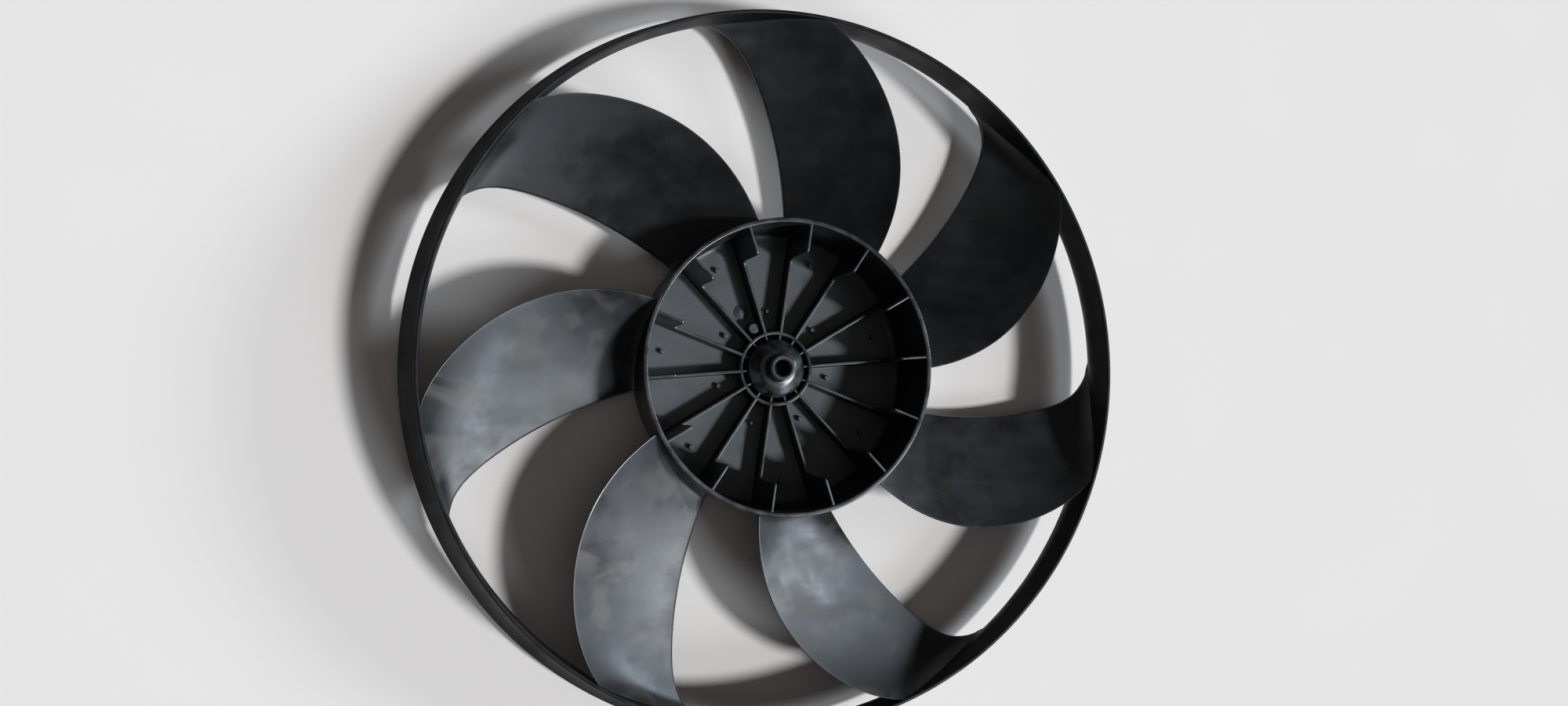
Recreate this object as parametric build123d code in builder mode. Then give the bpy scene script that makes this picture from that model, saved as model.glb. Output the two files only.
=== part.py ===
"""Radiator ring fan moulded in one piece: ribbed cup hub, seven swept blades and a bellmouth ring.

Millimetres. Z is the fan axis and points to the motor side, where the hub is open. The hub's flat
front face lies on Z = 0, and the trailing edge of the first blade leaves the hub along +X.
"""

import math
import os

from build123d import *

# Hub: a cup with its open side up
hub_d = 147.0
hub_h = 42.0
hub_wall = 2.4
hub_floor = 2.8
hub_draft = 0.6
hub_nose_r = 6.0
hub_foot_r = 3.0
rim_round = 0.7

# Shaft boss on a cone, inside a thin collar
bore_d = 8.0
boss_d = 13.0
boss_top = 25.5
boss_chamfer = 0.8
cone_d = 30.0
cone_foot = 12.0
cone_top = 19.5
cone_neck_r = 2.4
collar_d = 38.4
collar_wall = 1.8

# Ribs on the hub floor, each with a tall gusset against the hub wall
rib_count = 14
rib_t = 1.7
rib_top = 12.5
rib_phase = 4.6
gusset_len = 14.0
gusset_drop = 0.6
gusset_nose_r = 1.5
gusset_foot_r = 2.0
inner_rib_t = 1.2
inner_rib_top = 11.6

# Small posts, one to a pocket in turn near the wall and the collar, a round peg and a low gate mark
pin_d = 2.6
pin_h = 2.6
pin_outer_r = 58.4
pin_inner_r = 30.0
peg_d = 5.6
peg_h = 7.0
peg_r = 23.4
peg_angle = 118.3
gate_d = 8.0
gate_h = 0.7
gate_r = 33.6
gate_angle = 119.2

# Ring: a thin band that flares into a bellmouth on the inlet side
ring_d = 370.0
ring_wall = 2.0
ring_top = 41.0
ring_band = 11.5
flare_r = 31.0
flare_angle = 44.0

# Blades: angles are in degrees about the axis, forward of the trailing edge's root
blade_count = 7
blade_t = 2.9
edge_t = 1.8
te_z_root = 38.6
te_z_tip = 39.4
le_z_root = 9.6
le_z_tip = 14.6
te_sweep_angle = (12.6, 17.9)
le_root_angle = 34.8
le_sweep_angle = (8.5, 3.7)
te_corner_angle = 1.5
le_corner_angle = 4.5
camber = 0.35
root_blend = 4.0
tip_blend = 10.0
under_blend = 4.0

hub_r = hub_d / 2
wall_r = hub_r - hub_wall
bore_r = bore_d / 2
boss_r = boss_d / 2
cone_r = cone_d / 2
collar_r = collar_d / 2
collar_mid = collar_r - collar_wall / 2
flare_reach = math.sin(math.radians(flare_angle))
ring_out_r = ring_d / 2 - (flare_r - ring_wall) * (1 - math.cos(math.radians(flare_angle)))
ring_in_r = ring_out_r - ring_wall
flare_z = ring_top - ring_band
lip_z = flare_z - flare_r * flare_reach
root_r = hub_r - hub_wall / 2
rib_pitch = 360 / rib_count


def ring_face(z):
    """Radius of the ring's inner face at a height, along the band and then the flare."""
    drop = min(max(flare_z - z, 0.0), flare_r * flare_reach)
    return ring_in_r + flare_r - math.sqrt(flare_r**2 - drop**2)


def blend(gap, size, room):
    """Rise of a concave corner at a gap from the wall, shrunk to the room that is left on the wall."""
    room = max(room, size / 50)
    size = size * room / (size + room)
    share = min(max(1 - gap / size, 0.0), 0.92)
    return size * (1 - math.sqrt(1 - share**2))


def blade_point(u, t, side):
    """Point on a blade skin.

    Args:
        u: place along the blade, 0 inside the hub wall and 1 inside the ring wall.
        t: place along the chord, 0 at the trailing edge and 1 at the leading edge.
        side: 1 for the skin that faces the motor, -1 for the one that faces the inlet.

    Returns:
        The point in millimetres.
    """
    fall = t + camber * t * (1 - t)
    tip_r = ring_face(te_z_tip + (le_z_tip - te_z_tip) * fall)
    radius = root_r + (tip_r + ring_wall - root_r) * u
    v = (radius - hub_r) / (ring_in_r - hub_r)
    near = max((radius - hub_r) / (tip_r - hub_r), 0.0) ** 18
    te = te_sweep_angle[0] * v + te_sweep_angle[1] * v**2 + te_corner_angle * near
    le = le_root_angle + le_sweep_angle[0] * v + le_sweep_angle[1] * v**2 + le_corner_angle * near
    angle = math.radians(te + (le - te) * t)
    te_z = te_z_root + (te_z_tip - te_z_root) * v
    le_z = le_z_root + (le_z_tip - le_z_root) * v
    pitch = math.atan2((te_z - le_z) * (1 + camber * (1 - 2 * t)), radius * math.radians(le - te))
    full = max(4 * t * (1 - t), 0.0) ** 0.5
    z = te_z + (le_z - te_z) * fall
    z += side * (edge_t + (blade_t - edge_t) * full) / 2 / math.cos(pitch)
    if side > 0:
        z += blend(radius - hub_r, root_blend, hub_h - z) + blend(tip_r - radius, tip_blend, ring_top - z)
    else:
        z -= blend(radius - hub_r, root_blend, z - hub_nose_r) + blend(tip_r - radius, under_blend, z - lip_z)
    return Vector(radius * math.cos(angle), radius * math.sin(angle), z)


# One rib: low from the collar to the gusset, which steps up to the rim, with a thin web to the cone
with BuildPart() as rib:
    with BuildSketch(Plane.XZ) as rib_side:
        with BuildLine():
            Polyline(
                (collar_mid, hub_floor / 2),
                (wall_r + hub_wall / 4, hub_floor / 2),
                (wall_r + hub_wall / 4, hub_h - gusset_drop),
                (wall_r - gusset_len, hub_h - gusset_drop),
                (wall_r - gusset_len, rib_top),
                (collar_mid, rib_top),
                close=True,
            )
        make_face()
        fillet(rib_side.vertices().sort_by_distance((wall_r - gusset_len, hub_h))[0], gusset_nose_r)
        fillet(rib_side.vertices().sort_by_distance((wall_r - gusset_len, rib_top))[0], gusset_foot_r)
    extrude(amount=rib_t / 2, both=True)
    with BuildSketch(Plane.XZ):
        with BuildLine():
            Polyline(
                (boss_r, hub_floor / 2),
                (collar_mid, hub_floor / 2),
                (collar_mid, inner_rib_top),
                (boss_r, inner_rib_top),
                close=True,
            )
        make_face()
    extrude(amount=inner_rib_t / 2, both=True)

# Bellmouth ring
with BuildPart() as ring:
    with BuildSketch(Plane.XZ) as band:
        with BuildLine():
            inner = Line((ring_in_r, ring_top), (ring_in_r, flare_z))
            inner_arc = JernArc(inner @ 1, (0, -1), flare_r, flare_angle)
            outer = Line((ring_out_r, ring_top), (ring_out_r, flare_z))
            outer_arc = JernArc(outer @ 1, (0, -1), flare_r - ring_wall, flare_angle)
            Line(inner @ 0, outer @ 0)
            Line(inner_arc @ 1, outer_arc @ 1)
        make_face()
        fillet(band.vertices().group_by(Axis.Y)[-1], rim_round)
        fillet(band.vertices().sort_by(Axis.Y)[:2], rim_round)
    revolve(axis=Axis.Z)

# Space inside the middle of the ring's wall, which trims the blade tips
with BuildPart() as inside:
    with BuildSketch(Plane.XZ):
        with BuildLine():
            trim = Line((ring_in_r + ring_wall / 2, hub_h), (ring_in_r + ring_wall / 2, flare_z))
            trim_arc = JernArc(trim @ 1, (0, -1), flare_r - ring_wall / 2, flare_angle)
            Polyline(trim @ 0, (0, hub_h), (0, 0), ((trim_arc @ 1).X, 0), trim_arc @ 1)
        make_face()
    revolve(axis=Axis.Z)

# One blade: the space under its upper skin less the space under its lower skin
with BuildPart() as blade:
    along = (0, 0.015, 0.03, 0.045, 0.08, 0.2, 0.35, 0.5, 0.65, 0.78, 0.86, 0.9, 0.93, 0.955, 0.975, 0.99, 1)
    chord = [i / 8 for i in range(9)]
    upper = [[blade_point(u, t, 1) for t in chord] for u in along]
    lower = [[blade_point(1.04 * u - 0.02, 1.1 * t - 0.05, -1) for t in chord] for u in along]
    extrude(Face.make_surface_from_array_of_points(upper), amount=2 * hub_h, dir=(0, 0, -1))
    under = Face.make_surface_from_array_of_points(lower)
    extrude(under, amount=3 * hub_h, dir=(0, 0, -1), mode=Mode.SUBTRACT)
    add(inside.part, mode=Mode.INTERSECT)

# The whole fan
with BuildPart() as fan:
    with BuildSketch(Plane.XZ) as cup:
        with BuildLine():
            Polyline(
                (bore_r, 0),
                (hub_r - hub_draft, 0),
                (hub_r, hub_h),
                (wall_r, hub_h),
                (wall_r - hub_draft, hub_floor),
                (cone_r, hub_floor),
                (cone_r, cone_foot),
                (boss_r, cone_top),
                (boss_r, boss_top),
                (bore_r, boss_top),
                close=True,
            )
        make_face()
        fillet(cup.vertices().sort_by_distance((hub_r - hub_draft, 0))[0], hub_nose_r)
        fillet(cup.vertices().sort_by_distance((wall_r - hub_draft, hub_floor))[0], hub_foot_r)
        fillet(cup.vertices().group_by(Axis.Y)[-1], rim_round)
        fillet(cup.vertices().sort_by_distance((boss_r, cone_top))[0], cone_neck_r)
        chamfer(cup.vertices().sort_by_distance((bore_r, boss_top))[0], boss_chamfer)
    revolve(axis=Axis.Z)
    with BuildSketch(Plane.XY.offset(hub_floor / 2)):
        Circle(collar_r)
        Circle(collar_r - collar_wall, mode=Mode.SUBTRACT)
    extrude(amount=rib_top - hub_floor / 2)
    with PolarLocations(0, rib_count, start_angle=rib_phase):
        add(rib.part)
    with BuildSketch(Plane.XY.offset(hub_floor / 2)):
        with PolarLocations(pin_outer_r, blade_count, start_angle=rib_phase + rib_pitch / 2):
            Circle(pin_d / 2)
        with PolarLocations(pin_inner_r, blade_count, start_angle=rib_phase + rib_pitch * 3 / 2):
            Circle(pin_d / 2)
    extrude(amount=hub_floor / 2 + pin_h)
    with BuildSketch(Plane.XY.offset(hub_floor / 2)):
        with PolarLocations(peg_r, 1, start_angle=peg_angle):
            Circle(peg_d / 2)
    extrude(amount=hub_floor / 2 + peg_h)
    with BuildSketch(Plane.XY.offset(hub_floor)):
        with PolarLocations(gate_r, 1, start_angle=gate_angle):
            Circle(gate_d / 2)
    extrude(amount=gate_h, taper=60)
    add(ring.part)
    with PolarLocations(0, blade_count):
        add(blade.part)

os.makedirs("parts", exist_ok=True)
fan.part.label = "fan"
export_step(fan.part, "parts/fan.step")
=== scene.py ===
"""Dresses the radiator fan: one black moulding with a ribbed cup hub, swept blades and a bellmouth ring.

The skin is built again with rounded edges, coves and fine curves, from the same sizes as the solid, and
stands for it. Sizes are in millimetres until a mesh is made, and the row frame is in metres: Z is the fan
axis and points to the motor side, where the hub is open, and the hub's front face lies on Z = 0.
"""

import logging
import math
from collections.abc import Sequence
from dataclasses import dataclass, field
from enum import Enum

import bmesh
import bpy
import numpy as np
from mathutils import Matrix, Vector


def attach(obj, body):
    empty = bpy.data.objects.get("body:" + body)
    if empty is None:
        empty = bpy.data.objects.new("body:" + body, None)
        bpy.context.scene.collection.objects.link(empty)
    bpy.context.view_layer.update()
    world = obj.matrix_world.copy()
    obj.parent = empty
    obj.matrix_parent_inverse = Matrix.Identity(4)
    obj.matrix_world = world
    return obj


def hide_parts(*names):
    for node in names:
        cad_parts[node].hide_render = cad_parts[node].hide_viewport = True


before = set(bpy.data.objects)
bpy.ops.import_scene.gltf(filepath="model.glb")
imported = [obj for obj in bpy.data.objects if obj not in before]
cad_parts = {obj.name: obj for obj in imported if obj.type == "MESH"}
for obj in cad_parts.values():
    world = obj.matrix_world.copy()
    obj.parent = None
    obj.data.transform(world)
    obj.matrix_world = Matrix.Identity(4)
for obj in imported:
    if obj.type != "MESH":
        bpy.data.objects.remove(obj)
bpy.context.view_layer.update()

LOG = logging.getLogger("fan")
MM = 0.001
IMAGE_WIDTH = 2000
MERGED = 0.002  # points closer than this are one, in millimetres
SHARP = 38.0  # edges that turn by more than this stay sharp, in degrees
SUNK = 0.6  # how deep the feet of the ribs and collar reach into the floor, in millimetres

Colour = tuple[float, float, float]
Place = tuple[float, float, float]
Corner = tuple[float, float, float]
Point = tuple[float, float]
Face = tuple[int, ...]
Socket = bpy.types.NodeSocket


class Mark(Enum):
    """A surface mark that the meshes carry for the finishes."""

    WORN = "worn"
    SETTLED = "settled"


class Along(Enum):
    """Which way a cove runs on a rib."""

    FLOOR = "floor"
    WALL = "wall"


@dataclass
class Shell:
    """One closed skin before it becomes a mesh.

    Attributes:
        points: places in millimetres, one row each.
        faces: corner numbers of each face.
        worn: how far the edge of each point is rubbed, 0 to 1.
        settled: how much dust gathers at each point, 0 to 1, held low inside the hub's collar as painted
            shade.
    """

    points: np.ndarray
    faces: list[Face]
    worn: np.ndarray = field(default_factory=lambda: np.zeros(0))
    settled: np.ndarray = field(default_factory=lambda: np.zeros(0))

    def marked(self, worn: np.ndarray | float, settled: np.ndarray | float) -> "Shell":
        """Sets the two surface marks.

        Args:
            worn: how far each point is rubbed, or one value for all.
            settled: how much dust gathers at each point, or one value for all.

        Returns:
            The shell itself.
        """
        plain = np.zeros(len(self.points))
        self.worn = np.clip(plain + worn, 0.0, 1.0)
        self.settled = np.clip(plain + settled, 0.0, 1.0)
        return self

    def turned(self, degrees: float) -> "Shell":
        """Turns the shell about the fan axis.

        Args:
            degrees: the angle, in degrees.

        Returns:
            A turned copy.
        """
        a = math.radians(degrees)
        spin = np.array([[math.cos(a), math.sin(a), 0], [-math.sin(a), math.cos(a), 0], [0, 0, 1]])
        return Shell(self.points @ spin, self.faces, self.worn, self.settled)

    def moved(self, x: float, y: float, z: float) -> "Shell":
        """Returns the shell moved by a step in millimetres."""
        return Shell(self.points + np.array([x, y, z]), self.faces, self.worn, self.settled)


def rounded(corners: Sequence[Corner], steps: int = 5) -> list[Point]:
    """Rounds the corners of a closed outline.

    Args:
        corners: two coordinates and a radius for each corner. A radius of 0 keeps the point as it is.
        steps: how many chords a rounded corner has.

    Returns:
        The outline's points, with one extra point on the flat beside each round.
    """
    out: list[Point] = []
    for i, (x, y, radius) in enumerate(corners):
        here = np.array([x, y])
        before = np.array(corners[i - 1][:2]) - here
        after = np.array(corners[(i + 1) % len(corners)][:2]) - here
        if radius <= 0:
            out.append((x, y))
            continue
        before /= np.linalg.norm(before)
        after /= np.linalg.norm(after)
        half = math.acos(float(np.clip(before @ after, -1, 1))) / 2
        reach = radius / math.tan(half)
        middle = here + (before + after) / np.linalg.norm(before + after) * radius / math.sin(half)
        first = here + before * reach - middle
        last = here + after * reach - middle
        sweep = math.pi - 2 * half
        beside = reach + 0.3 * radius
        out.append(tuple(here + before * beside))
        for k in range(steps + 1):
            s = k / steps
            spoke = (math.sin((1 - s) * sweep) * first + math.sin(s * sweep) * last) / math.sin(sweep)
            out.append(tuple(middle + spoke))
        out.append(tuple(here + after * beside))
    return out


def revolved(outline: Sequence[Point], steps: int) -> Shell:
    """Turns a closed outline of radius and height about the fan axis.

    Args:
        outline: radius and height of each point, in order.
        steps: how many copies of the outline stand round the axis.

    Returns:
        The closed skin.
    """
    line = np.array(outline)
    count = len(line)
    angles = np.linspace(0, 2 * math.pi, steps, endpoint=False)[:, None]
    x, y = line[:, 0] * np.cos(angles), line[:, 0] * np.sin(angles)
    points = np.stack([x, y, np.broadcast_to(line[:, 1], x.shape)], -1).reshape(-1, 3)
    faces: list[Face] = []
    for k in range(steps):
        a, b = k * count, ((k + 1) % steps) * count
        for i in range(count):
            j = (i + 1) % count
            faces.append((a + i, b + i, b + j, a + j))
    return Shell(points, faces)


def stacked(loops: Sequence[np.ndarray]) -> Shell:
    """Joins closed loops of equal length into a skin and closes both ends.

    Args:
        loops: one array of points for each loop, in order.

    Returns:
        The closed skin.
    """
    count = len(loops[0])
    faces: list[Face] = []
    for k in range(len(loops) - 1):
        for i in range(count):
            j = (i + 1) % count
            faces.append((k * count + i, k * count + j, (k + 1) * count + j, (k + 1) * count + i))
    faces.append(tuple(range(count)))
    faces.append(tuple((len(loops) - 1) * count + i for i in reversed(range(count))))
    return Shell(np.concatenate(loops), faces)


def plate(outline: Sequence[Point], thickness: float, edge: float) -> Shell:
    """Makes an upright plate in the XZ plane with rounded edges.

    Args:
        outline: the plate's closed outline, as distance from the axis and height.
        thickness: the plate's thickness.
        edge: radius of its edges.

    Returns:
        The closed skin.
    """
    line = np.array(outline)
    ahead = np.roll(line, -1, 0) - line
    ahead /= np.linalg.norm(ahead, axis=1, keepdims=True) + 1e-9
    normal = np.stack([ahead[:, 1], -ahead[:, 0]], 1)
    normal = normal + np.roll(normal, 1, 0)
    length = np.linalg.norm(normal, axis=1, keepdims=True)
    normal = normal / length * np.minimum(2 / length, 1.6)
    area = np.sum(line[:, 0] * np.roll(line[:, 1], -1) - np.roll(line[:, 0], -1) * line[:, 1])
    inwards = normal * (-1 if area > 0 else 1)
    half = thickness / 2
    rows = [(-half, edge * 1.8)] + [
        (-half + edge * (1 - math.cos(a)), edge * (1 - math.sin(a))) for a in np.radians([0, 30, 60, 90])
    ]
    rows += [(-y, inset) for y, inset in reversed(rows)]
    loops = []
    for y, inset in rows:
        flat = line + inwards * inset
        loops.append(np.stack([flat[:, 0], np.full(len(flat), y), flat[:, 1]], 1))
    return stacked(loops)


def cove(start: Place, end: Place, out: Place, up: Place, radius: float) -> Shell:
    """Makes the concave round that fills an inside corner.

    Args:
        start: the corner's first point.
        end: the corner's last point.
        out: unit direction along the one face, away from the corner.
        up: unit direction along the other face, away from the corner.
        radius: the round's radius.

    Returns:
        The closed skin, sunk a little into both faces.
    """
    a, b = np.array(out, float), np.array(up, float)
    sunk = 0.35
    arc = [radius * ((1 - math.sin(t)) * a + (1 - math.cos(t)) * b) for t in np.linspace(0, math.pi / 2, 6)]
    section = [-sunk * (a + b), radius * a - sunk * b, *arc, radius * b - sunk * a]
    return stacked([np.array(place, float) + np.array(section) for place in (start, end)])


def fade(gap: np.ndarray, reach: float) -> np.ndarray:
    """Returns a mark that is 1 where there is no gap and fades away over a reach."""
    return np.exp(-np.abs(gap) / reach)


@dataclass(frozen=True)
class Finish:
    """One skin of the moulding: its plastic, how it shines and what lies on it.

    Attributes:
        name: the material's name.
        plastic: colour of the clean plastic.
        dust: colour of the dust.
        soil: colour of the dried dirt.
        rubbed: colour of rubbed edges.
        roughness: how matt the clean skin is.
        smear: how far smears change the roughness.
        film: share of dust on open faces.
        gathered: share of dust where it gathers.
        patches: share of dried dirt in its patches.
        dulled: how much more matt the skin is towards the ring.
        scuff: how pale rubbed edges are.
        polish: how much smoother rubbed places are.
        ior: the plastic's refractive index.
        cloud: size of the smears, as patches to the metre.
        waviness: height of the moulding's slow waves, in millimetres.
        grain: height of the skin's fine grain, in millimetres.
    """

    name: str
    plastic: Colour = (0.0026, 0.0028, 0.0032)
    dust: Colour = (0.155, 0.16, 0.165)
    soil: Colour = (0.25, 0.215, 0.165)
    rubbed: Colour = (0.32, 0.32, 0.32)
    roughness: float = 0.4
    smear: float = 0.16
    film: float = 0.008
    gathered: float = 0.08
    patches: float = 0.13
    dulled: float = 0.0
    scuff: float = 0.05
    polish: float = 0.0
    ior: float = 1.66
    cloud: float = 22.0
    waviness: float = 0.25
    grain: float = 0.012


class Skin(Enum):
    """The finishes of the moulding's regions."""

    BLADE = Finish("blade_satin_black", roughness=0.38, dulled=0.1)
    RING = Finish(
        "ring_satin_black",
        roughness=0.5,
        film=0.002,
        gathered=0.02,
        patches=0.02,
        scuff=0.02,
        ior=1.3,
        cloud=30.0,
        waviness=0.15,
    )
    HUB = Finish(
        "hub_dusty_black",
        roughness=0.42,
        film=0.012,
        gathered=0.31,
        patches=0.04,
        scuff=0.09,
        polish=0.14,
        cloud=34.0,
        waviness=0.12,
    )


class NodeBench:
    """Small helper that places and links nodes in one tree."""

    def __init__(self, tree: bpy.types.NodeTree) -> None:
        """Starts on an empty tree."""
        self.tree = tree
        tree.nodes.clear()

    def add(self, kind: str, **settings: object) -> bpy.types.Node:
        """Adds a node.

        Args:
            kind: the node's Blender type.
            settings: node properties to set.

        Returns:
            The new node.
        """
        node = self.tree.nodes.new(kind)
        for key, value in settings.items():
            setattr(node, key, value)
        return node

    def link(self, source: Socket, target: Socket) -> None:
        """Links one socket to another."""
        self.tree.links.new(source, target)

    def feed(self, target: Socket, value: object) -> None:
        """Links a socket to an input, or sets the input to a plain value.

        Args:
            target: the input.
            value: a socket, or a number or colour.
        """
        if isinstance(value, Socket):
            self.link(value, target)
        else:
            target.default_value = value

    def math(self, operation: str, first: object, second: object, clamp: bool = False) -> Socket:
        """Adds a Math node.

        Args:
            operation: the sum to do.
            first: a socket or a number.
            second: a socket or a number.
            clamp: whether the result stays between 0 and 1.

        Returns:
            The result's socket.
        """
        node = self.add("ShaderNodeMath", operation=operation, use_clamp=clamp)
        self.feed(node.inputs[0], first)
        self.feed(node.inputs[1], second)
        return node.outputs[0]

    def plus(self, first: object, second: object, clamp: bool = False) -> Socket:
        """Adds two sockets or numbers and returns the result's socket."""
        return self.math("ADD", first, second, clamp)

    def times(self, first: object, second: object, clamp: bool = False) -> Socket:
        """Multiplies two sockets or numbers and returns the result's socket."""
        return self.math("MULTIPLY", first, second, clamp)

    def noise(self, vector: Socket, scale: object, detail: float, distortion: float = 0.0) -> Socket:
        """Adds a Noise Texture.

        Args:
            vector: the coordinates.
            scale: a socket or a number, as patches to the metre.
            detail: how many finer layers it has.
            distortion: how far it is stirred.

        Returns:
            The value's socket.
        """
        node = self.add("ShaderNodeTexNoise")
        self.link(vector, node.inputs["Vector"])
        self.feed(node.inputs["Scale"], scale)
        node.inputs["Detail"].default_value = detail
        node.inputs["Distortion"].default_value = distortion
        return node.outputs["Fac"]

    def span(self, value: Socket, low: float, high: float) -> Socket:
        """Stretches a range of values smoothly to 0 to 1.

        Args:
            value: the socket to stretch.
            low: the value that becomes 0.
            high: the value that becomes 1.

        Returns:
            The result's socket.
        """
        node = self.add("ShaderNodeMapRange", interpolation_type="SMOOTHSTEP")
        self.link(value, node.inputs["Value"])
        node.inputs["From Min"].default_value = low
        node.inputs["From Max"].default_value = high
        return node.outputs["Result"]

    def mix(self, share: object, first: object, second: object) -> Socket:
        """Mixes two colours.

        Args:
            share: how much of the second shows.
            first: a socket or a colour.
            second: a socket or a colour.

        Returns:
            The colour's socket.
        """
        node = self.add("ShaderNodeMix", data_type="RGBA")
        self.feed(node.inputs["Factor"], share)
        colours = [s for s in node.inputs if s.type == "RGBA"]
        for socket, value in zip(colours, (first, second), strict=True):
            self.feed(socket, (*value, 1.0) if isinstance(value, tuple) else value)
        return next(s for s in node.outputs if s.type == "RGBA")


class SkinEffects:
    """The shader groups that all finishes share: cloudy film, fine grain and rubbed edges."""

    def __init__(self) -> None:
        """Builds each group once."""
        self.film = self._film()
        self.grain = self._grain()
        self.scuffs = self._scuffs()

    @staticmethod
    def _group(
        name: str, inputs: dict[str, str], outputs: Sequence[str]
    ) -> tuple[bpy.types.NodeTree, NodeBench]:
        """Makes an empty shader group.

        Args:
            name: the group's name.
            inputs: socket type of each input.
            outputs: names of the values it puts out.

        Returns:
            The group and a bench on it.
        """
        tree = bpy.data.node_groups.new(name, "ShaderNodeTree")
        for key, kind in inputs.items():
            tree.interface.new_socket(key, in_out="INPUT", socket_type=kind)
        for key in outputs:
            tree.interface.new_socket(key, in_out="OUTPUT", socket_type="NodeSocketFloat")
        return tree, NodeBench(tree)

    def _film(self) -> bpy.types.NodeTree:
        """Builds cloudy smears at two sizes, wiped streaks, patches of dried dirt, and flecks of dust.

        Returns:
            The group, which puts out a mask for each.
        """
        tree, bench = self._group(
            "Cloudy film",
            {"Vector": "NodeSocketVector", "Scale": "NodeSocketFloat"},
            ("Cloud", "Wipe", "Patch", "Fleck"),
        )
        given = bench.add("NodeGroupInput")
        put = bench.add("NodeGroupOutput")
        vector, scale = given.outputs["Vector"], given.outputs["Scale"]
        broad = bench.noise(vector, scale, 3.0, 0.6)
        small = bench.noise(vector, bench.times(scale, 3.7), 4.0, 0.3)
        both = bench.plus(bench.times(broad, 0.68), bench.times(small, 0.32))
        bench.link(bench.span(both, 0.36, 0.64), put.inputs["Cloud"])
        stretch = bench.add("ShaderNodeMapping")
        stretch.inputs["Rotation"].default_value = (0.2, 0.1, 0.7)
        stretch.inputs["Scale"].default_value = (1.0, 5.5, 1.0)
        bench.link(vector, stretch.inputs["Vector"])
        wipe = bench.noise(stretch.outputs["Vector"], bench.times(scale, 0.8), 5.0, 0.4)
        bench.link(bench.span(wipe, 0.4, 0.72), put.inputs["Wipe"])
        patch = bench.noise(vector, bench.times(scale, 1.3), 3.5, 1.4)
        bench.link(bench.span(patch, 0.5, 0.66), put.inputs["Patch"])
        fleck = bench.noise(vector, bench.times(scale, 34.0), 2.0)
        bench.link(bench.span(fleck, 0.66, 0.8), put.inputs["Fleck"])
        return tree

    def _grain(self) -> bpy.types.NodeTree:
        """Builds the slow waves of the moulding and the fine grain of its skin.

        Returns:
            The group, which puts out a height for each.
        """
        tree, bench = self._group("Moulded skin", {"Vector": "NodeSocketVector"}, ("Waves", "Grain"))
        given = bench.add("NodeGroupInput")
        put = bench.add("NodeGroupOutput")
        bench.link(bench.noise(given.outputs["Vector"], 24.0, 1.0), put.inputs["Waves"])
        bench.link(bench.noise(given.outputs["Vector"], 900.0, 2.0), put.inputs["Grain"])
        return tree

    def _scuffs(self) -> bpy.types.NodeTree:
        """Builds the broken pale line along rubbed edges.

        Returns:
            The group, which puts out its mask.
        """
        tree, bench = self._group(
            "Rubbed edges", {"Vector": "NodeSocketVector", "Worn": "NodeSocketFloat"}, ("Mask",)
        )
        given = bench.add("NodeGroupInput")
        put = bench.add("NodeGroupOutput")
        broken = bench.span(bench.noise(given.outputs["Vector"], 140.0, 4.0), 0.38, 0.62)
        bench.link(bench.times(broken, given.outputs["Worn"], clamp=True), put.inputs["Mask"])
        return tree


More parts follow.
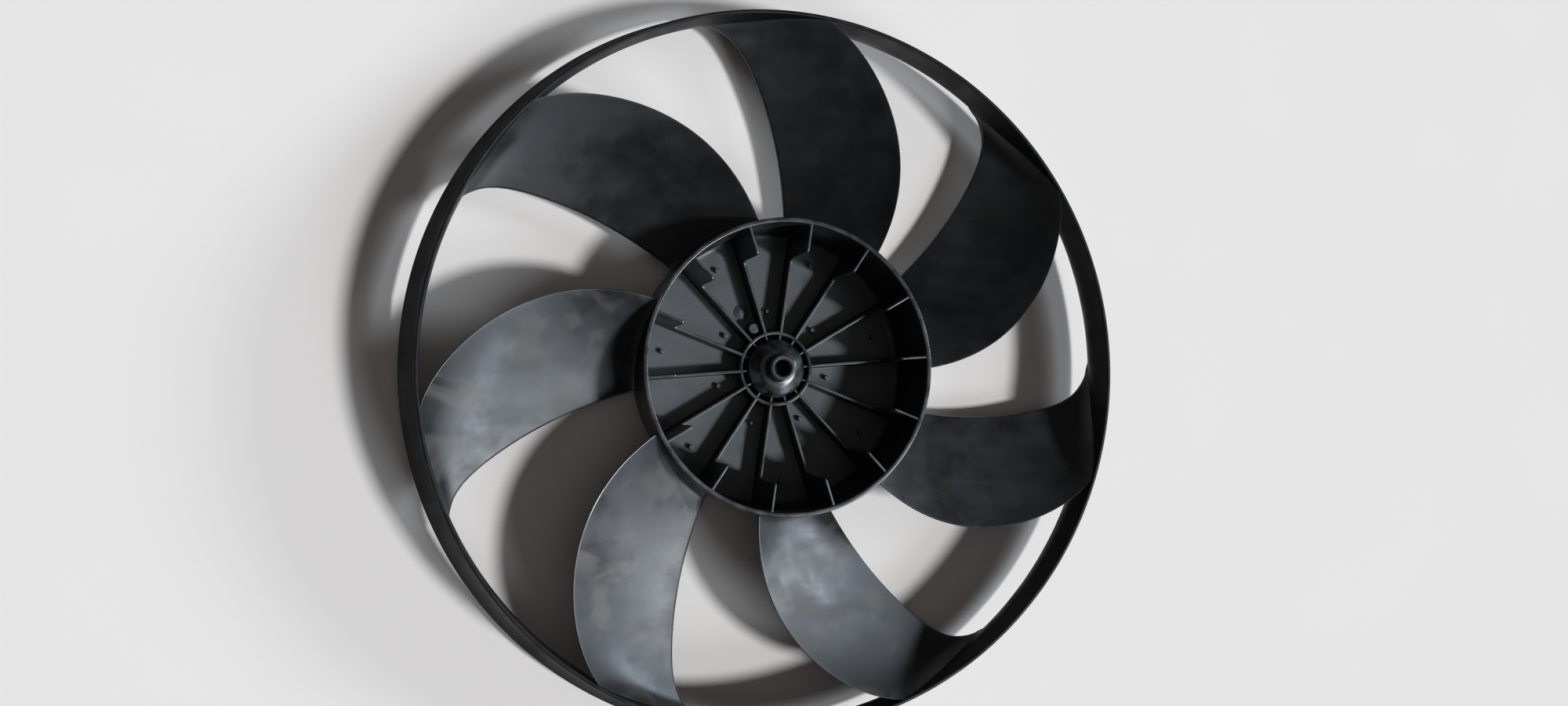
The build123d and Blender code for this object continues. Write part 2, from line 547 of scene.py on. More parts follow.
class PlasticMaker:
    """Makes the material of each finish."""

    def __init__(self) -> None:
        """Builds the shared effects."""
        self.effects = SkinEffects()
        self.made: dict[Skin, bpy.types.Material] = {}

    def material(self, skin: Skin) -> bpy.types.Material:
        """Gives the material of a region, made at its first use.

        Args:
            skin: the region's finish.

        Returns:
            The material.
        """
        if skin not in self.made:
            self.made[skin] = self._make(skin.value)
        return self.made[skin]

    def _make(self, finish: Finish) -> bpy.types.Material:
        """Builds one black plastic.

        Args:
            finish: its colours and values.

        Returns:
            The material.
        """
        material = bpy.data.materials.new(finish.name)
        material.use_nodes = True
        bench = NodeBench(material.node_tree)
        place = bench.add("ShaderNodeTexCoord").outputs["Object"]
        worn = bench.add("ShaderNodeAttribute", attribute_name=Mark.WORN.value).outputs["Fac"]
        settled = bench.add("ShaderNodeAttribute", attribute_name=Mark.SETTLED.value).outputs["Fac"]
        film, grain, scuffs = (
            bench.add("ShaderNodeGroup", node_tree=group)
            for group in (self.effects.film, self.effects.grain, self.effects.scuffs)
        )
        for effect in (film, grain, scuffs):
            bench.link(place, effect.inputs["Vector"])
        film.inputs["Scale"].default_value = finish.cloud
        bench.link(worn, scuffs.inputs["Worn"])
        cloud, wipe, patch, fleck = (film.outputs[n] for n in ("Cloud", "Wipe", "Patch", "Fleck"))

        veil = bench.times(bench.plus(cloud, wipe), finish.film)
        uneven = bench.plus(bench.times(cloud, 0.5), 0.7)
        gathered = bench.times(bench.times(settled, uneven), finish.gathered)
        specks = bench.times(fleck, finish.film * 1.5)
        dust = bench.plus(bench.plus(veil, gathered), specks, clamp=True)
        colour = bench.mix(dust, finish.plastic, finish.dust)
        dried = bench.times(bench.times(patch, self._side(bench, place)), finish.patches)
        colour = bench.mix(dried, colour, finish.soil)
        rubbed = bench.times(scuffs.outputs["Mask"], finish.scuff)
        colour = bench.mix(rubbed, colour, finish.rubbed)

        dull = bench.times(bench.math("SUBTRACT", cloud, 0.5), finish.smear)
        dull = bench.plus(bench.plus(dull, finish.roughness), bench.times(dust, 0.6))
        dull = bench.plus(dull, bench.times(dried, 0.5))
        dull = bench.plus(dull, bench.times(self._outward(bench, place), finish.dulled))
        dull = bench.math("SUBTRACT", dull, bench.times(worn, finish.polish))
        dull = bench.plus(dull, bench.times(wipe, finish.smear * 0.35), clamp=True)

        waves, fine = bench.add("ShaderNodeBump"), bench.add("ShaderNodeBump")
        for bump, relief, height in ((waves, "Waves", finish.waviness), (fine, "Grain", finish.grain)):
            bump.inputs["Strength"].default_value = 1.0
            bump.inputs["Distance"].default_value = height * MM
            bench.link(grain.outputs[relief], bump.inputs["Height"])
        bench.link(waves.outputs["Normal"], fine.inputs["Normal"])

        plastic = bench.add("ShaderNodeBsdfPrincipled")
        bench.link(colour, plastic.inputs["Base Color"])
        bench.link(dull, plastic.inputs["Roughness"])
        bench.link(fine.outputs["Normal"], plastic.inputs["Normal"])
        plastic.inputs["IOR"].default_value = finish.ior
        output = bench.add("ShaderNodeOutputMaterial")
        bench.link(plastic.outputs["BSDF"], output.inputs["Surface"])
        return material

    @staticmethod
    def _outward(bench: NodeBench, place: Socket) -> Socket:
        """Marks the outer part of the fan, where grit in the air dulls it.

        Args:
            bench: where the nodes go.
            place: the object coordinates.

        Returns:
            The mask's socket, from 0 near the hub to 1 at the ring.
        """
        flat = bench.add("ShaderNodeVectorMath", operation="MULTIPLY")
        bench.link(place, flat.inputs[0])
        flat.inputs[1].default_value = (1.0, 1.0, 0.0)
        length = bench.add("ShaderNodeVectorMath", operation="LENGTH")
        bench.link(flat.outputs["Vector"], length.inputs[0])
        return bench.span(length.outputs["Value"], 0.11, 0.175)

    @staticmethod
    def _side(bench: NodeBench, place: Socket) -> Socket:
        """Marks the side of the fan where more dirt has dried.

        Args:
            bench: where the nodes go.
            place: the object coordinates.

        Returns:
            The mask's socket, from a trace to 1.
        """
        split = bench.add("ShaderNodeSeparateXYZ")
        bench.link(place, split.inputs[0])
        slant = bench.plus(bench.times(split.outputs["X"], -0.6), bench.times(split.outputs["Y"], -0.8))
        return bench.plus(bench.times(bench.span(slant, -0.03, 0.06), 0.9), 0.1)


class MeshShop:
    """Turns shells into mesh objects, and copies them round the fan axis."""

    def __init__(self, plastics: PlasticMaker) -> None:
        """Keeps the plastics and builds the tree that copies round the axis."""
        self.plastics = plastics
        self.copies = self._copies_tree()

    def piece(self, name: str, shells: Sequence[Shell], skin: Skin) -> bpy.types.Object:
        """Makes one mesh object from closed skins.

        Args:
            name: the object's name.
            shells: its skins, in millimetres.
            skin: its finish.

        Returns:
            The object, at the origin.
        """
        points, faces, worn, settled, count = [], [], [], [], 0
        for shell in shells:
            points.append(shell.points * MM)
            faces.extend(tuple(i + count for i in face) for face in shell.faces)
            worn.append(shell.worn)
            settled.append(shell.settled)
            count += len(shell.points)
        mesh = bpy.data.meshes.new(name)
        mesh.from_pydata(np.concatenate(points).tolist(), [], faces)
        for mark, values in ((Mark.WORN, worn), (Mark.SETTLED, settled)):
            layer = mesh.attributes.new(mark.value, "FLOAT", "POINT")
            layer.data.foreach_set("value", np.concatenate(values).astype(np.float32))
        work = bmesh.new()
        work.from_mesh(mesh)
        bmesh.ops.remove_doubles(work, verts=work.verts, dist=MERGED * MM)
        bmesh.ops.recalc_face_normals(work, faces=work.faces)
        for face in work.faces:
            face.smooth = True
        work.to_mesh(mesh)
        work.free()
        mesh.set_sharp_from_angle(angle=math.radians(SHARP))
        mesh.materials.append(self.plastics.material(skin))
        made = bpy.data.objects.new(name, mesh)
        bpy.context.scene.collection.objects.link(made)
        return made

    @staticmethod
    def _copies_tree() -> bpy.types.NodeTree:
        """Builds the tree that sets equal copies round the fan axis.

        Returns:
            The tree, with inputs for the count, the first copy's angle and the finish.
        """
        tree = bpy.data.node_groups.new("Copies round the axis", "GeometryNodeTree")
        for key, kind in (
            ("Geometry", "NodeSocketGeometry"),
            ("Copies", "NodeSocketInt"),
            ("First angle", "NodeSocketFloat"),
            ("Finish", "NodeSocketMaterial"),
        ):
            tree.interface.new_socket(key, in_out="INPUT", socket_type=kind)
        tree.interface.new_socket("Geometry", in_out="OUTPUT", socket_type="NodeSocketGeometry")
        bench = NodeBench(tree)
        given = bench.add("NodeGroupInput")
        put = bench.add("NodeGroupOutput")
        spots = bench.add("GeometryNodePoints")
        bench.link(given.outputs["Copies"], spots.inputs["Count"])
        index = bench.add("GeometryNodeInputIndex").outputs[0]
        share = bench.math("DIVIDE", index, given.outputs["Copies"])
        angle = bench.plus(bench.times(share, 2 * math.pi), given.outputs["First angle"])
        spin = bench.add("FunctionNodeAxisAngleToRotation")
        spin.inputs["Axis"].default_value = (0, 0, 1)
        bench.link(angle, spin.inputs["Angle"])
        copies = bench.add("GeometryNodeInstanceOnPoints")
        bench.link(spots.outputs[0], copies.inputs["Points"])
        bench.link(given.outputs["Geometry"], copies.inputs["Instance"])
        bench.link(spin.outputs[0], copies.inputs["Rotation"])
        real = bench.add("GeometryNodeRealizeInstances")
        bench.link(copies.outputs[0], real.inputs[0])
        dress = bench.add("GeometryNodeSetMaterial")
        bench.link(real.outputs[0], dress.inputs["Geometry"])
        bench.link(given.outputs["Finish"], dress.inputs["Material"])
        bench.link(dress.outputs[0], put.inputs[0])
        return tree

    def copied(self, piece: bpy.types.Object, copies: int, first: float, skin: Skin) -> bpy.types.Object:
        """Sets equal copies of a piece round the fan axis.

        Args:
            piece: the piece, in its first place.
            copies: how many there are.
            first: angle of the first, in degrees.
            skin: its finish.

        Returns:
            The same object, with all the copies in its mesh.
        """
        modifier = piece.modifiers.new("Copies", "NODES")
        modifier.node_group = self.copies
        values = {
            "Copies": copies,
            "First angle": math.radians(first),
            "Finish": self.plastics.material(skin),
        }
        for item in self.copies.interface.items_tree:
            if item.in_out == "INPUT" and item.name in values:
                modifier[item.identifier] = values[item.name]
        graph = bpy.context.evaluated_depsgraph_get()
        mesh = bpy.data.meshes.new_from_object(piece.evaluated_get(graph))
        piece.modifiers.remove(modifier)
        piece.data = mesh
        return piece


@dataclass
class Hub:
    """The cup hub with its boss, cone, collar, ribs and moulding marks.

    Attributes are its sizes in millimetres and degrees, as in the solid, apart from softer crowns on the cone
    and the gate mark, the ribs' taper, and the small rounds and coves, which are the skin's own.
    """

    diameter: float = 147.0
    height: float = 42.0
    wall: float = 2.4
    floor: float = 2.8
    draft: float = 0.6
    nose_round: float = 6.0
    foot_round: float = 3.0
    rim_round: float = 0.7
    bore: float = 8.0
    bore_round: float = 0.4
    boss: float = 13.0
    boss_top: float = 25.5
    boss_chamfer: float = 0.8
    chamfer_round: float = 0.2
    boss_round: float = 0.8
    cone: float = 30.0
    cone_foot: float = 13.2
    cone_foot_round: float = 0.8
    cone_step: Point = (9.4, 16.3)
    cone_step_round: float = 3.0
    cone_top: float = 17.0
    cone_shoulder: float = 2.6
    cone_neck: float = 1.1
    collar: float = 38.4
    collar_wall: float = 1.8
    collar_round: float = 0.55
    collar_cove: float = 1.0
    rib_count: int = 14
    rib_thickness: float = 1.7
    rib_round: float = 0.4
    rib_taper: float = 0.25
    rib_top: float = 12.5
    rib_phase: float = 4.6
    gusset_length: float = 14.0
    gusset_drop: float = 0.6
    gusset_nose: float = 1.5
    gusset_foot: float = 2.0
    web_thickness: float = 1.2
    web_round: float = 0.35
    web_top: float = 11.6
    pin: float = 2.6
    pin_height: float = 2.6
    pin_round: float = 0.4
    pin_outer: float = 58.4
    pin_inner: float = 30.0
    pin_count: int = 7
    peg: float = 5.6
    peg_height: float = 7.0
    peg_round: float = 0.6
    peg_radius: float = 23.4
    peg_angle: float = 118.3
    gate: float = 8.0
    gate_top: float = 2.4
    gate_height: float = 1.3
    gate_round: float = 2.0
    gate_dust: float = 1.0
    gate_radius: float = 33.6
    gate_angle: float = 119.2
    corner_round: float = 0.9
    floor_rings: tuple[float, ...] = (64.0, 60.0, 54.0, 46.0, 38.0, 30.0, 24.0, 20.5, 17.5)
    steps: int = 192
    post_steps: int = 28

    @property
    def inner(self) -> float:
        """Radius of the cup's inside at the rim."""
        return self.diameter / 2 - self.wall

    def build(self, shop: MeshShop) -> list[bpy.types.Object]:
        """Builds the hub's pieces.

        Args:
            shop: where the meshes are made.

        Returns:
            The objects.
        """
        pieces = [shop.piece("hub_cup", [self._cup(), self._collar()], Skin.HUB)]
        rib = shop.piece("hub_ribs", self._rib(), Skin.HUB)
        pieces.append(shop.copied(rib, self.rib_count, self.rib_phase, Skin.HUB))
        pitch = 360 / self.rib_count
        post = self._post(self.pin, self.pin, self.pin_height, self.pin_round)
        rows = (("outer_posts", self.pin_outer, 0.5), ("inner_posts", self.pin_inner, 1.5))
        for name, radius, pockets in rows:
            row = shop.piece(name, [post.moved(radius, 0, 0)], Skin.HUB)
            pieces.append(shop.copied(row, self.pin_count, self.rib_phase + pitch * pockets, Skin.HUB))
        peg = self._post(self.peg, self.peg, self.peg_height, self.peg_round)
        gate = self._post(self.gate, self.gate_top, self.gate_height, self.gate_round, self.gate_dust)
        marks = [
            peg.moved(self.peg_radius, 0, 0).turned(self.peg_angle),
            gate.moved(self.gate_radius, 0, 0).turned(self.gate_angle),
        ]
        pieces.append(shop.piece("peg_and_gate_mark", marks, Skin.HUB))
        return pieces

    def _cup(self) -> Shell:
        """Turns the cup, cone and boss, and marks its rims and corners, with less dust inside the collar as
        painted shade.

        Returns:
            The closed skin.
        """
        radius = self.diameter / 2
        corners = [
            (self.bore / 2, 0, self.bore_round),
            (radius - self.draft, 0, self.nose_round),
            (radius, self.height, self.rim_round),
            (self.inner, self.height, self.rim_round),
            (self.inner - self.draft, self.floor, self.foot_round),
            *((r, self.floor, 0.0) for r in self.floor_rings),
            (self.cone / 2, self.floor, self.cone_foot_round),
            (self.cone / 2, self.cone_foot, self.cone_shoulder),
            (*self.cone_step, self.cone_step_round),
            (self.boss / 2, self.cone_top, self.cone_neck),
            (self.boss / 2, self.boss_top, self.boss_round),
            (self.bore / 2 + self.boss_chamfer, self.boss_top, self.chamfer_round),
            (self.bore / 2, self.boss_top - self.boss_chamfer, self.chamfer_round),
        ]
        shell = revolved(rounded(corners), self.steps)
        r, z = np.hypot(shell.points[:, 0], shell.points[:, 1]), shell.points[:, 2]
        rim = fade(self.height - z, 0.5)
        boss = (r < self.boss / 2 + 0.2) * fade(self.boss_top - z, 0.6)
        cone = (r < self.cone / 2 + 0.1) & (r > self.boss / 2 - 0.1) & (z > self.floor + 3.0)
        inside = (z > self.floor - 0.1) & (r < self.inner + 0.1)
        # Less pale dust on the floor inside the collar, so the pocket round the cone is darker: painted
        # shade.
        pocket_painted_shade = np.where(r > self.collar / 2 - self.collar_wall, 1.0, 0.4)
        floor_dust_and_pocket_shade = inside * np.exp(-(z - self.floor) / 2.0) * pocket_painted_shade
        return shell.marked(rim + boss + cone, (0.06 + floor_dust_and_pocket_shade + 0.04 * rim) * ~cone + 0.12 * boss)

    def _collar(self) -> Shell:
        """Turns the thin collar round the boss, with a cove at its foot.

        Returns:
            The closed skin.
        """
        outer, inner = self.collar / 2, self.collar / 2 - self.collar_wall
        low, skirt = self.floor - SUNK, outer + self.collar_cove * 1.3
        corners = [
            (inner, low, 0.0),
            (skirt, low, 0.0),
            (skirt, self.floor, 0.0),
            (outer, self.floor, self.collar_cove),
            (outer, self.rib_top, self.collar_round),
            (inner, self.rib_top, self.collar_round),
        ]
        shell = revolved(rounded(corners), self.steps)
        z = shell.points[:, 2]
        crest = fade(self.rib_top - z, 0.4)
        return shell.marked(crest, 0.06 + 0.08 * crest + 0.7 * fade(z - self.floor, 1.0))

    def _rib(self) -> list[Shell]:
        """Makes one rib with its gusset, coves and the thin web inside the collar.

        Returns:
            The closed skins, along +X.
        """
        start = self.collar / 2 - self.collar_wall / 2
        end = self.inner + self.wall / 4
        step = self.inner - self.gusset_length
        top = self.height - self.gusset_drop
        low = self.floor - SUNK
        outline = rounded(
            [
                (start, low, 0.0),
                (end, low, 0.0),
                (end, top, 0.0),
                (step, top, self.gusset_nose),
                (step, self.rib_top, self.gusset_foot),
                (start, self.rib_top, 0.0),
            ]
        )
        half = self.rib_thickness / 2
        rib = plate(outline, self.rib_thickness, self.rib_round)
        rise = np.clip((rib.points[:, 2] - self.floor) / (top - self.floor), 0.0, 1.0)
        rib.points[:, 1] *= 1 - self.rib_taper * rise
        x, y, z = rib.points.T
        upright = x > step - 0.5
        crest = fade(np.where(upright, top, self.rib_top) - z, 0.5)
        across = np.clip((half - np.abs(y)) / 0.3, 0.0, 1.0)
        nose = fade(np.hypot(x - step, z - top), 3.0)
        rib.marked(0.6 * crest + nose, 0.08 + across * crest * np.where(upright, 0.06, 0.2))
        boss = self.boss / 2
        side_view = [(boss, low), (start, low), (start, self.web_top), (boss, self.web_top)]
        web = plate(side_view, self.web_thickness, self.web_round).marked(0.0, 0.15)
        coves = [self._cove(along, side, half) for side in (-1.0, 1.0) for along in Along]
        return [rib, web, *coves]

    def _cove(self, along: Along, side: float, half: float) -> Shell:
        """Makes one of a rib's coves.

        Args:
            along: whether it runs on the floor or up the wall.
            side: 1 or -1 for the rib's two sides.
            half: half the rib's thickness.

        Returns:
            The closed skin.
        """
        if along is Along.FLOOR:
            begin = (self.collar / 2, side * half, self.floor)
            finish = (self.inner - 1.5, side * half, self.floor)
            shell = cove(begin, finish, (0, side, 0), (0, 0, 1), self.corner_round)
        else:
            begin = (self.inner - self.draft, side * half, self.floor + 1.0)
            finish = (self.inner, side * half * (1 - self.rib_taper), self.height - self.gusset_drop - 0.4)
            shell = cove(begin, finish, (0, side, 0), (-1, 0, 0), self.corner_round)
        above = shell.points[:, 2] - self.floor
        return shell.marked(0.0, 0.12 + 0.6 * np.exp(-above / 0.7))

    def _post(self, foot: float, top: float, height: float, edge: float, dust: float = 0.15) -> Shell:
        """Turns a small round post or mark on the hub floor.

        Args:
            foot: its width at the floor.
            top: its width at the top.
            height: how far it stands up.
            edge: radius of its top edge.
            dust: how much dust lies on its side.

        Returns:
            The closed skin, on the axis.
        """
        low, high = self.floor - 0.4, self.floor + height
        corners = [
            (0.0, low, 0.0),
            (foot / 2, low, 0.0),
            (foot / 2, self.floor, 0.0),
            (top / 2, high, edge),
            (0.0, high, 0.0),
        ]
        shell = revolved(rounded(corners), self.post_steps)
        crest = fade(high - shell.points[:, 2], 0.4)
        return shell.marked(0.2 * crest, np.maximum(dust, 0.15 + 0.35 * crest))


@dataclass
class Ring:
    """The outer ring: a thin band that flares into a bellmouth.

    Attributes are its sizes in millimetres and degrees, as in the solid.
    """

    diameter: float = 370.0
    wall: float = 2.0
    top: float = 41.0
    band: float = 11.5
    flare: float = 31.0
    flare_angle: float = 44.0
    edge_round: float = 0.7
    flare_points: int = 13
    steps: int = 320

    @property
    def inner(self) -> float:
        """Radius of the band's inside."""
        rise = (self.flare - self.wall) * (1 - math.cos(math.radians(self.flare_angle)))
        return self.diameter / 2 - rise - self.wall

    @property
    def flare_start(self) -> float:
        """Height where the band starts to flare."""
        return self.top - self.band

    @property
    def lip(self) -> float:
        """Height of the bellmouth's lip on the inside."""
        return self.flare_start - self.flare * math.sin(math.radians(self.flare_angle))

    def face(self, z: np.ndarray) -> np.ndarray:
        """Returns the radius of the ring's inner face at each height."""
        drop = np.clip(self.flare_start - z, 0.0, self.flare_start - self.lip)
        return self.inner + self.flare - np.sqrt(self.flare**2 - drop**2)

    def _arc(self, radius: float) -> list[Corner]:
        """Places points on the flare.

        Args:
            radius: the flare's radius on the inside or the outside of the wall.

        Returns:
            The points from the band to the lip, with a round at the lip alone.
        """
        x, y = self.inner + self.flare, self.flare_start
        sweep = np.radians(np.linspace(0, self.flare_angle, self.flare_points))
        rounds = [0.0] * (self.flare_points - 1) + [self.edge_round]
        pairs = zip(sweep, rounds, strict=True)
        return [(x - radius * math.cos(a), y - radius * math.sin(a), r) for a, r in pairs]

    def build(self, shop: MeshShop) -> list[bpy.types.Object]:
        """Builds the ring.

        Args:
            shop: where the mesh is made.

        Returns:
            The object, in a list.
        """
        corners = [
            (self.inner, self.top, self.edge_round),
            *self._arc(self.flare),
            *reversed(self._arc(self.flare - self.wall)),
            (self.inner + self.wall, self.top, self.edge_round),
        ]
        shell = revolved(rounded(corners), self.steps)
        z = shell.points[:, 2]
        low = float(z.min())
        shell.marked(fade(self.top - z, 0.6) + fade(z - low, 0.8), 0.4 * fade(z - low, 8.0))
        return [shop.piece("bellmouth_ring", [shell], Skin.RING)]


@dataclass
class BladeSet:
    """The swept blades, each with concave blends into the hub and the ring.

    Attributes are sizes in millimetres and degrees, as in the solid. Angles are forward of the trailing
    edge's root. The steps place the mesh's lines close together at the hub, the ring and both edges.
    """

    hub: Hub
    ring: Ring
    count: int = 7
    thickness: float = 2.9
    edge: float = 1.8
    trailing_z: Point = (38.6, 39.4)
    leading_z: Point = (9.6, 14.6)
    trailing_sweep: Point = (12.6, 17.9)
    leading_root: float = 34.8
    leading_sweep: Point = (8.5, 3.7)
    trailing_corner: float = 1.5
    leading_corner: float = 4.5
    camber: float = 0.35
    root_blend: float = 4.0
    tip_blend: float = 10.0
    under_blend: float = 4.0
    root_steps: tuple[float, ...] = (-1.2, -0.3, 0.1, 0.4, 0.8, 1.2, 1.7, 2.3, 3.0, 4.0, 5.5)
    tip_steps: tuple[float, ...] = (11.0, 9.4, 7.9, 6.5, 5.2, 4.1, 3.1, 2.2, 1.4, 0.8, 0.3, -0.3, -1.0)
    edge_steps: tuple[float, ...] = (0.0, 0.02, 0.1, 0.26, 0.5, 0.85, 1.3, 2.2, 4.0)
    stations: int = 46
    chord_points: int = 18

    def build(self, shop: MeshShop) -> list[bpy.types.Object]:
        """Builds the blades.

        Args:
            shop: where the meshes are made.

        Returns:
            The object, in a list.
        """
        blade = shop.piece("swept_blades", [self._blade()], Skin.BLADE)
        return [shop.copied(blade, self.count, 0.0, Skin.BLADE)]

    @staticmethod
    def _blend(gap: np.ndarray, size: float, room: np.ndarray) -> np.ndarray:
        """Rise of a concave corner.

        Args:
            gap: distance from the wall.
            size: the corner's radius where there is room for it.
            room: height of wall that is left.

        Returns:
            How far the skin rises.
        """
        room = np.maximum(room, size / 50)
        fitted = size * room / (size + room)
        share = np.clip(1 - gap / fitted, 0.0, 0.92)
        return fitted * (1 - np.sqrt(1 - share**2))

    def _chord(self) -> np.ndarray:
        """Places the mesh's points along the chord.

        Returns:
            Each point's share of the chord from the trailing edge, one row a station.
        """
        hub_radius = self.hub.diameter / 2
        guess = np.linspace(hub_radius, self.ring.inner, self.stations)
        v = (guess - hub_radius) / (self.ring.inner - hub_radius)
        width = np.radians(self._leading(v) - self._trailing(v)) * guess * 1.1
        rows = []
        for chord in width:
            ends = np.array(self.edge_steps) / chord
            inner = np.linspace(ends[-1], 1 - ends[-1], self.chord_points + 2)[1:-1]
            rows.append(np.concatenate([ends, inner, (1 - ends)[::-1]]))
        return np.array(rows)

    def _radii(self, tip: np.ndarray) -> np.ndarray:
        """Places the stations along the blade.

        Args:
            tip: radius of the ring's inner face, one row a station and one column a chord point.

        Returns:
            Each point's radius.
        """
        start, end = self.hub.diameter / 2, tip - self.tip_steps[0]
        first, last = len(self.root_steps), self.stations - len(self.tip_steps)
        radius = np.empty_like(tip)
        for i in range(self.stations):
            if i < first:
                radius[i] = start + self.root_steps[i]
            elif i < last:
                share = (i - first + 1) / (last - first + 1)
                radius[i] = (start + self.root_steps[-1]) * (1 - share) + end[i] * share
            else:
                radius[i] = tip[i] - self.tip_steps[i - last]
        return radius

    def _blade(self) -> Shell:
        """Makes one blade with rounded edges, both skins and both blends.

        Returns:
            The closed skin, with the root of its trailing edge on +X.
        """
        hub_radius = self.hub.diameter / 2
        t = self._chord()
        fall = t + self.camber * t * (1 - t)
        tip = self.ring.face(self.trailing_z[1] + (self.leading_z[1] - self.trailing_z[1]) * fall)
        radius = self._radii(tip)
        v = (radius - hub_radius) / (self.ring.inner - hub_radius)
        near = np.maximum((radius - hub_radius) / (tip - hub_radius), 0.0) ** 18
        trailing = self._trailing(v) + self.trailing_corner * near
        leading = self._leading(v) + self.leading_corner * near
        angle = np.radians(trailing + (leading - trailing) * t)
        high = self.trailing_z[0] + (self.trailing_z[1] - self.trailing_z[0]) * v
        low = self.leading_z[0] + (self.leading_z[1] - self.leading_z[0]) * v
        run = radius * np.radians(leading - trailing)
        pitch = np.arctan2((high - low) * (1 + self.camber * (1 - 2 * t)), run)
        middle = high + (low - high) * fall
        full = np.sqrt(np.maximum(4 * t * (1 - t), 0.0))
        inset = np.minimum(t, 1 - t) * run / np.cos(pitch)
        nose = np.sqrt(np.maximum(1 - (1 - np.minimum(inset / (self.edge / 2), 1.0)) ** 2, 0.0))
        half = (self.edge + (self.thickness - self.edge) * full) / 2 / np.cos(pitch) * nose
        upper = middle + half
        upper = upper + nose * (
            self._blend(radius - hub_radius, self.root_blend, self.hub.height - upper)
            + self._blend(tip - radius, self.tip_blend, self.ring.top - upper)
        )
        lower = middle - half
        lower = lower - nose * (
            self._blend(radius - hub_radius, self.root_blend, lower - self.hub.nose_round)
            + self._blend(tip - radius, self.under_blend, lower - self.ring.lip)
        )
        worn = fade(inset, 0.9)
        settled = 0.7 * fade(radius - hub_radius, 7.0) + 0.5 * fade(tip - radius, 6.0)
        loops, worn_rows, settled_rows = [], [], []
        for i in range(self.stations):
            rows = []
            for skin, part in ((upper, slice(None)), (lower, slice(-2, 0, -1))):
                height, around = skin[i][part], angle[i][part]
                reach = np.minimum(radius[i][part], self.ring.face(height) + self.ring.wall / 2)
                rows.append(np.stack([reach * np.cos(around), reach * np.sin(around), height], 1))
            loops.append(np.concatenate(rows))
            worn_rows.append(np.concatenate([worn[i], worn[i][-2:0:-1]]))
            settled_rows.append(np.concatenate([settled[i], settled[i][-2:0:-1]]))
        return stacked(loops).marked(np.concatenate(worn_rows), np.concatenate(settled_rows))

    def _trailing(self, v: np.ndarray) -> np.ndarray:
        """Returns the trailing edge's angle at a share of the span."""
        return self.trailing_sweep[0] * v + self.trailing_sweep[1] * v**2

    def _leading(self, v: np.ndarray) -> np.ndarray:
        """Returns the leading edge's angle at a share of the span."""
        return self.leading_root + self.leading_sweep[0] * v + self.leading_sweep[1] * v**2


@dataclass
class Fan:
    """The whole moulding.

    Attributes:
        hub: the cup hub.
        ring: the bellmouth ring.
    """

    hub: Hub = field(default_factory=Hub)
    ring: Ring = field(default_factory=Ring)

    def build(self) -> bpy.types.Object:
        """Builds every region and joins them, because the fan is one moulding.

        Returns:
            The fan, which stands for the solid.
        """
        shop = MeshShop(PlasticMaker())
        pieces: list[bpy.types.Object] = []
        for region in (self.hub, self.ring, BladeSet(self.hub, self.ring)):
            for piece in region.build(shop):
                LOG.info("%s: %d faces", piece.name, len(piece.data.polygons))
                pieces.append(piece)
        fan = pieces[0]
        chosen = {"selected_objects": pieces, "selected_editable_objects": pieces}
        with bpy.context.temp_override(active_object=fan, object=fan, **chosen):
            bpy.ops.object.join()
        fan.name = "fan_moulding"
        fan.data.name = "fan_moulding"
        fan.data.calc_loop_triangles()
        LOG.info("%s: %d triangles", fan.name, len(fan.data.loop_triangles))
        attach(fan, "root")
        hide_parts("fan")
        return fan


@dataclass(frozen=True)
class SoftLight:
    """A soft studio light from far off, so that the whole floor is lit alike.

    Attributes:
        name: the light's name.
        azimuth: where it stands, in degrees from +X towards +Y.
        elevation: its height above the floor, in degrees.
        spread: how wide it looks from the fan, in degrees.
        strength: how much light falls on a surface that faces it.
        colour: its tint.
    """

    name: str
    azimuth: float
    elevation: float
    spread: float
    strength: float
    colour: Colour = (0.86, 0.98, 1.12)

    def place(self) -> bpy.types.Object:
        """Makes the light.

        Returns:
            The light's object.
        """
        a, e = math.radians(self.azimuth), math.radians(self.elevation)
        away = Vector((math.cos(a) * math.cos(e), math.sin(a) * math.cos(e), math.sin(e)))
        data = bpy.data.lights.new(self.name, "SUN")
        data.energy = self.strength
        data.angle = math.radians(self.spread)
        data.color = self.colour
        lamp = bpy.data.objects.new(self.name, data)
        lamp.location = away * 3.0
        lamp.rotation_euler = away.to_track_quat("Z", "Y").to_euler()
        bpy.context.scene.collection.objects.link(lamp)
        return lamp


@dataclass(frozen=True)
class Viewpoint:
    """The photograph's camera.

    Attributes:
        target: the point that it is turned about, in millimetres.
        turn: its turn about the frame's Y axis, in degrees.
        tip: its tip about its own X axis, in degrees.
        aside: how far the target lies from the line of sight, in millimetres.
        distance: how far off it is, in millimetres.
        focal: its focal length in pixels of the photograph.
    """

    target: Place = (0.0, 0.0, 41.0)
    turn: float = 16.22
    tip: float = -2.56
    aside: Point = (3.916, -6.755)
    distance: float = 575.75
    focal: float = 1500.0

    def place(self) -> bpy.types.Object:
        """Makes the camera and sets it as the scene's.

        Returns:
            The camera's object.
        """
        tipped = Matrix.Rotation(math.radians(self.tip), 3, "X")
        turned = tipped @ Matrix.Rotation(math.radians(self.turn), 3, "Y")
        data = bpy.data.cameras.new("camera")
        data.sensor_fit = "HORIZONTAL"
        data.sensor_width = 36.0
        data.lens = self.focal / IMAGE_WIDTH * data.sensor_width
        data.clip_start, data.clip_end = 0.01, 100.0
        camera = bpy.data.objects.new("camera", data)
        back = turned.transposed()
        spot = Vector(self.target) + back @ Vector((-self.aside[0], -self.aside[1], self.distance))
        camera.matrix_world = Matrix.Translation(spot * MM) @ back.to_4x4()
        bpy.context.scene.collection.objects.link(camera)
        bpy.context.scene.camera = camera
        return camera


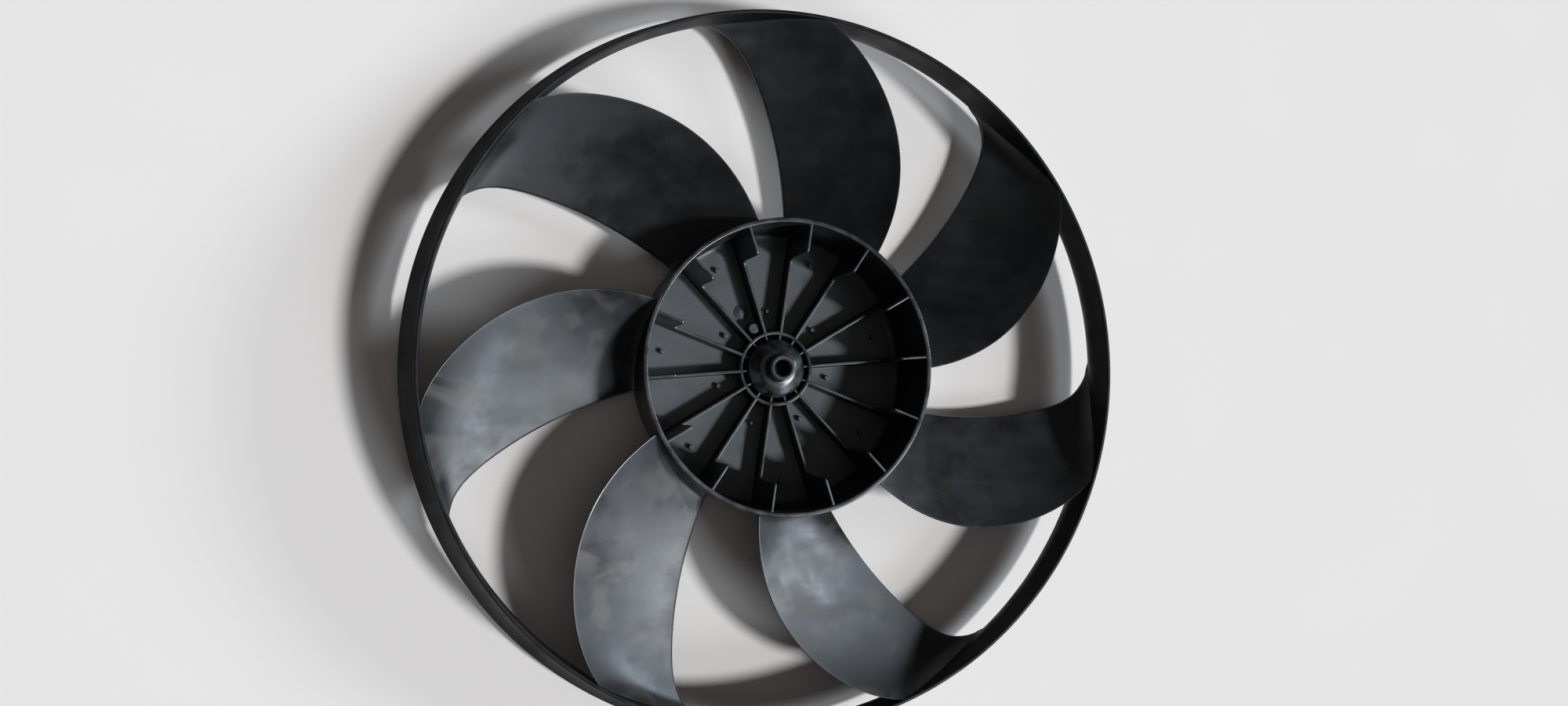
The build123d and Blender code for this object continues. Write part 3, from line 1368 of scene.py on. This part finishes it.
class Studio:
    """Pale floor, soft lamps, a dim room and the camera."""

    LAMPS = (
        SoftLight("key_light", -26.0, 47.0, 8.0, 2.8, (0.92, 0.985, 1.06)),
        SoftLight("front_window", -48.0, 36.0, 20.0, 0.9),
        SoftLight("side_window", 10.0, 23.0, 15.0, 1.45),
    )
    FLOOR: Colour = (0.83, 0.76, 0.70)
    HORIZON: float = 0.8
    ROOM: float = 0.032
    CEILING: float = 0.25

    def build(self) -> None:
        """Builds the whole studio."""
        self._floor()
        self._room()
        for lamp in self.LAMPS:
            lamp.place()
        Viewpoint().place()
        bpy.context.scene.view_settings.view_transform = "Standard"

    def _floor(self) -> None:
        """Makes the pale floor that the hub rests on."""
        mesh = bpy.data.meshes.new("studio_floor")
        side = 12.0
        corners = [(-side, -side, 0), (side, -side, 0), (side, side, 0), (-side, side, 0)]
        mesh.from_pydata(corners, [], [(0, 1, 2, 3)])
        material = bpy.data.materials.new("pale_floor")
        material.use_nodes = True
        bench = NodeBench(material.node_tree)
        place = bench.add("ShaderNodeTexCoord").outputs["Object"]
        tone = bench.noise(place, 9.0, 4.0)
        colour = bench.mix(tone, self.FLOOR, tuple(c * 0.96 for c in self.FLOOR))
        matt = bench.add("ShaderNodeBsdfPrincipled")
        bench.link(colour, matt.inputs["Base Color"])
        matt.inputs["Roughness"].default_value = 1.0
        matt.inputs["Specular IOR Level"].default_value = 0.0
        output = bench.add("ShaderNodeOutputMaterial")
        bench.link(matt.outputs["BSDF"], output.inputs["Surface"])
        mesh.materials.append(material)
        floor = bpy.data.objects.new("studio_floor", mesh)
        bpy.context.scene.collection.objects.link(floor)

    def _room(self) -> None:
        """Makes the dim room, pale at the horizon."""
        world = bpy.data.worlds.new("studio")
        world.use_nodes = True
        bench = NodeBench(world.node_tree)
        split = bench.add("ShaderNodeSeparateXYZ")
        bench.link(bench.add("ShaderNodeTexCoord").outputs["Generated"], split.inputs[0])
        height = bench.span(split.outputs["Z"], 0.0, 0.14)
        colour = bench.mix(height, (self.HORIZON,) * 3, (self.ROOM, self.ROOM, self.ROOM * 1.08))
        colour = bench.mix(bench.span(split.outputs["Z"], 0.8, 1.0), colour, (self.CEILING,) * 3)
        light = bench.add("ShaderNodeBackground")
        bench.link(colour, light.inputs["Color"])
        output = bench.add("ShaderNodeOutputWorld")
        bench.link(light.outputs[0], output.inputs["Surface"])
        bpy.context.scene.world = world


def main() -> None:
    """Builds the fan and its studio."""
    logging.basicConfig(level=logging.INFO, format="%(name)s: %(message)s")
    Fan().build()
    Studio().build()


if __name__ == "__main__":
    main()
